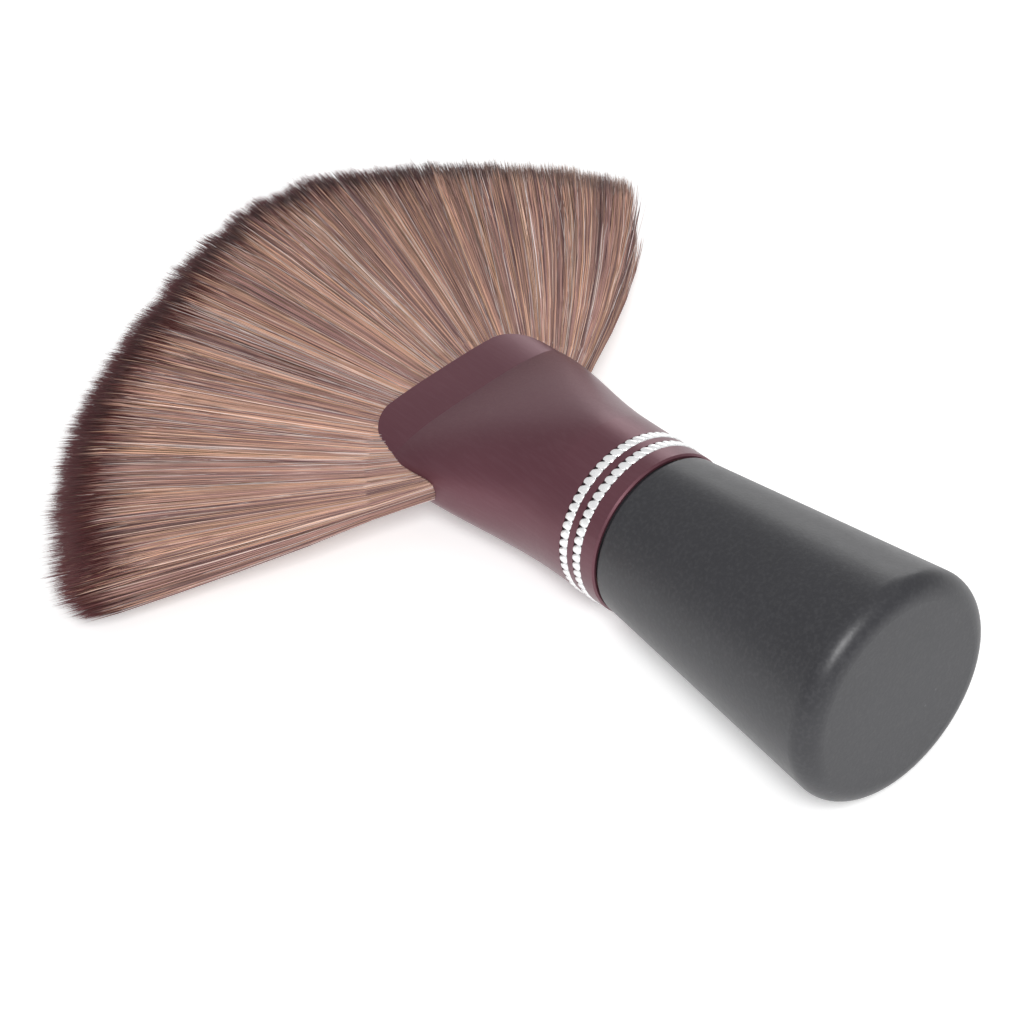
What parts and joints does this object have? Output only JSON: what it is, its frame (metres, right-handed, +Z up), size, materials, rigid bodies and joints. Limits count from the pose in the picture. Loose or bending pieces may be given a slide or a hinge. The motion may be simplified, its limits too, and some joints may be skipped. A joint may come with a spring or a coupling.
{
  "type": "neck duster brush",
  "caption": "Fan-shaped neck duster brush: flared black handle, pressed burgundy metal ferrule with bright cut bands, wide fan of soft two-tone hair.",
  "frame": {"origin": "centre of the base of the bounding box of the brush lying on a table", "axes": "+Z up, +Y along the brush from handle to hair, +X across the fan"},
  "size_m": [0.114, 0.1398, 0.0332],
  "materials": {
    "handle_coating": "soft-touch matte black coating",
    "anodised_ferrule": "satin burgundy anodising",
    "bright_cut": "bright diamond-cut facets",
    "adhesive": "cured glue",
    "root_resin": "cast amber resin",
    "hair": "soft synthetic filaments, light brown with dark brown and burgundy tips"
  },
  "bodies": {
    "grip": {"handle": "handle_coating", "tenon_adhesive": "adhesive", "ferrule": "anodised_ferrule", "bright_band_rear": "bright_cut", "bright_band_front": "bright_cut", "root_plug": "root_resin", "hair_root_bundle": "hair"},
    "lock_1": {"hair_lock_1": "hair"},
    "lock_2": {"hair_lock_2": "hair"},
    "lock_3": {"hair_lock_3": "hair"},
    "lock_4": {"hair_lock_4": "hair"},
    "lock_5": {"hair_lock_5": "hair"},
    "lock_6": {"hair_lock_6": "hair"},
    "lock_7": {"hair_lock_7": "hair"},
    "lock_8": {"hair_lock_8": "hair"},
    "lock_9": {"hair_lock_9": "hair"}
  },
  "joints": [
    {"name": "lock_1_bend", "type": "hinge", "parent": "grip", "child": "lock_1", "pos_m": [-0.01103, 0.00695, 0.01069], "axis": [0.5275, 0.8468, -0.0686], "range_deg": [-25, 25], "stiffness_Nm_per_rad": 0.05},
    {"name": "lock_2_bend", "type": "hinge", "parent": "grip", "child": "lock_2", "pos_m": [-0.01094, 0.01386, 0.01013], "axis": [0.7133, 0.6986, -0.0566], "range_deg": [-25, 25], "stiffness_Nm_per_rad": 0.05},
    {"name": "lock_3_bend", "type": "hinge", "parent": "grip", "child": "lock_3", "pos_m": [-0.00702, 0.01886, 0.00973], "axis": [0.8587, 0.5109, -0.0414], "range_deg": [-25, 25], "stiffness_Nm_per_rad": 0.05},
    {"name": "lock_4_bend", "type": "hinge", "parent": "grip", "child": "lock_4", "pos_m": [-0.00122, 0.02144, 0.00952], "axis": [0.9555, 0.2942, -0.0238], "range_deg": [-25, 25], "stiffness_Nm_per_rad": 0.05},
    {"name": "lock_5_bend", "type": "hinge", "parent": "grip", "child": "lock_5", "pos_m": [0.00514, 0.02087, 0.00956], "axis": [0.9981, 0.0608, -0.0049], "range_deg": [-25, 25], "stiffness_Nm_per_rad": 0.05},
    {"name": "lock_6_bend", "type": "hinge", "parent": "grip", "child": "lock_6", "pos_m": [0.0112, 0.02121, 0.00954], "axis": [0.9843, -0.1759, 0.0143], "range_deg": [-25, 25], "stiffness_Nm_per_rad": 0.05},
    {"name": "lock_7_bend", "type": "hinge", "parent": "grip", "child": "lock_7", "pos_m": [0.01746, 0.02034, 0.00961], "axis": [0.9147, -0.4028, 0.0326], "range_deg": [-25, 25], "stiffness_Nm_per_rad": 0.05},
    {"name": "lock_8_bend", "type": "hinge", "parent": "grip", "child": "lock_8", "pos_m": [0.0228, 0.01695, 0.00988], "axis": [0.7934, -0.6068, 0.0492], "range_deg": [-25, 25], "stiffness_Nm_per_rad": 0.05},
    {"name": "lock_9_bend", "type": "hinge", "parent": "grip", "child": "lock_9", "pos_m": [0.02469, 0.01046, 0.01041], "axis": [0.6271, -0.7764, 0.0629], "range_deg": [-25, 25], "stiffness_Nm_per_rad": 0.05}
  ],
  "couplings": [
    {"joint": "lock_1_bend", "follows": "lock_5_bend", "ratio": 1},
    {"joint": "lock_2_bend", "follows": "lock_5_bend", "ratio": 1},
    {"joint": "lock_3_bend", "follows": "lock_5_bend", "ratio": 1},
    {"joint": "lock_4_bend", "follows": "lock_5_bend", "ratio": 1},
    {"joint": "lock_6_bend", "follows": "lock_5_bend", "ratio": 1},
    {"joint": "lock_7_bend", "follows": "lock_5_bend", "ratio": 1},
    {"joint": "lock_8_bend", "follows": "lock_5_bend", "ratio": 1},
    {"joint": "lock_9_bend", "follows": "lock_5_bend", "ratio": 1}
  ]
}
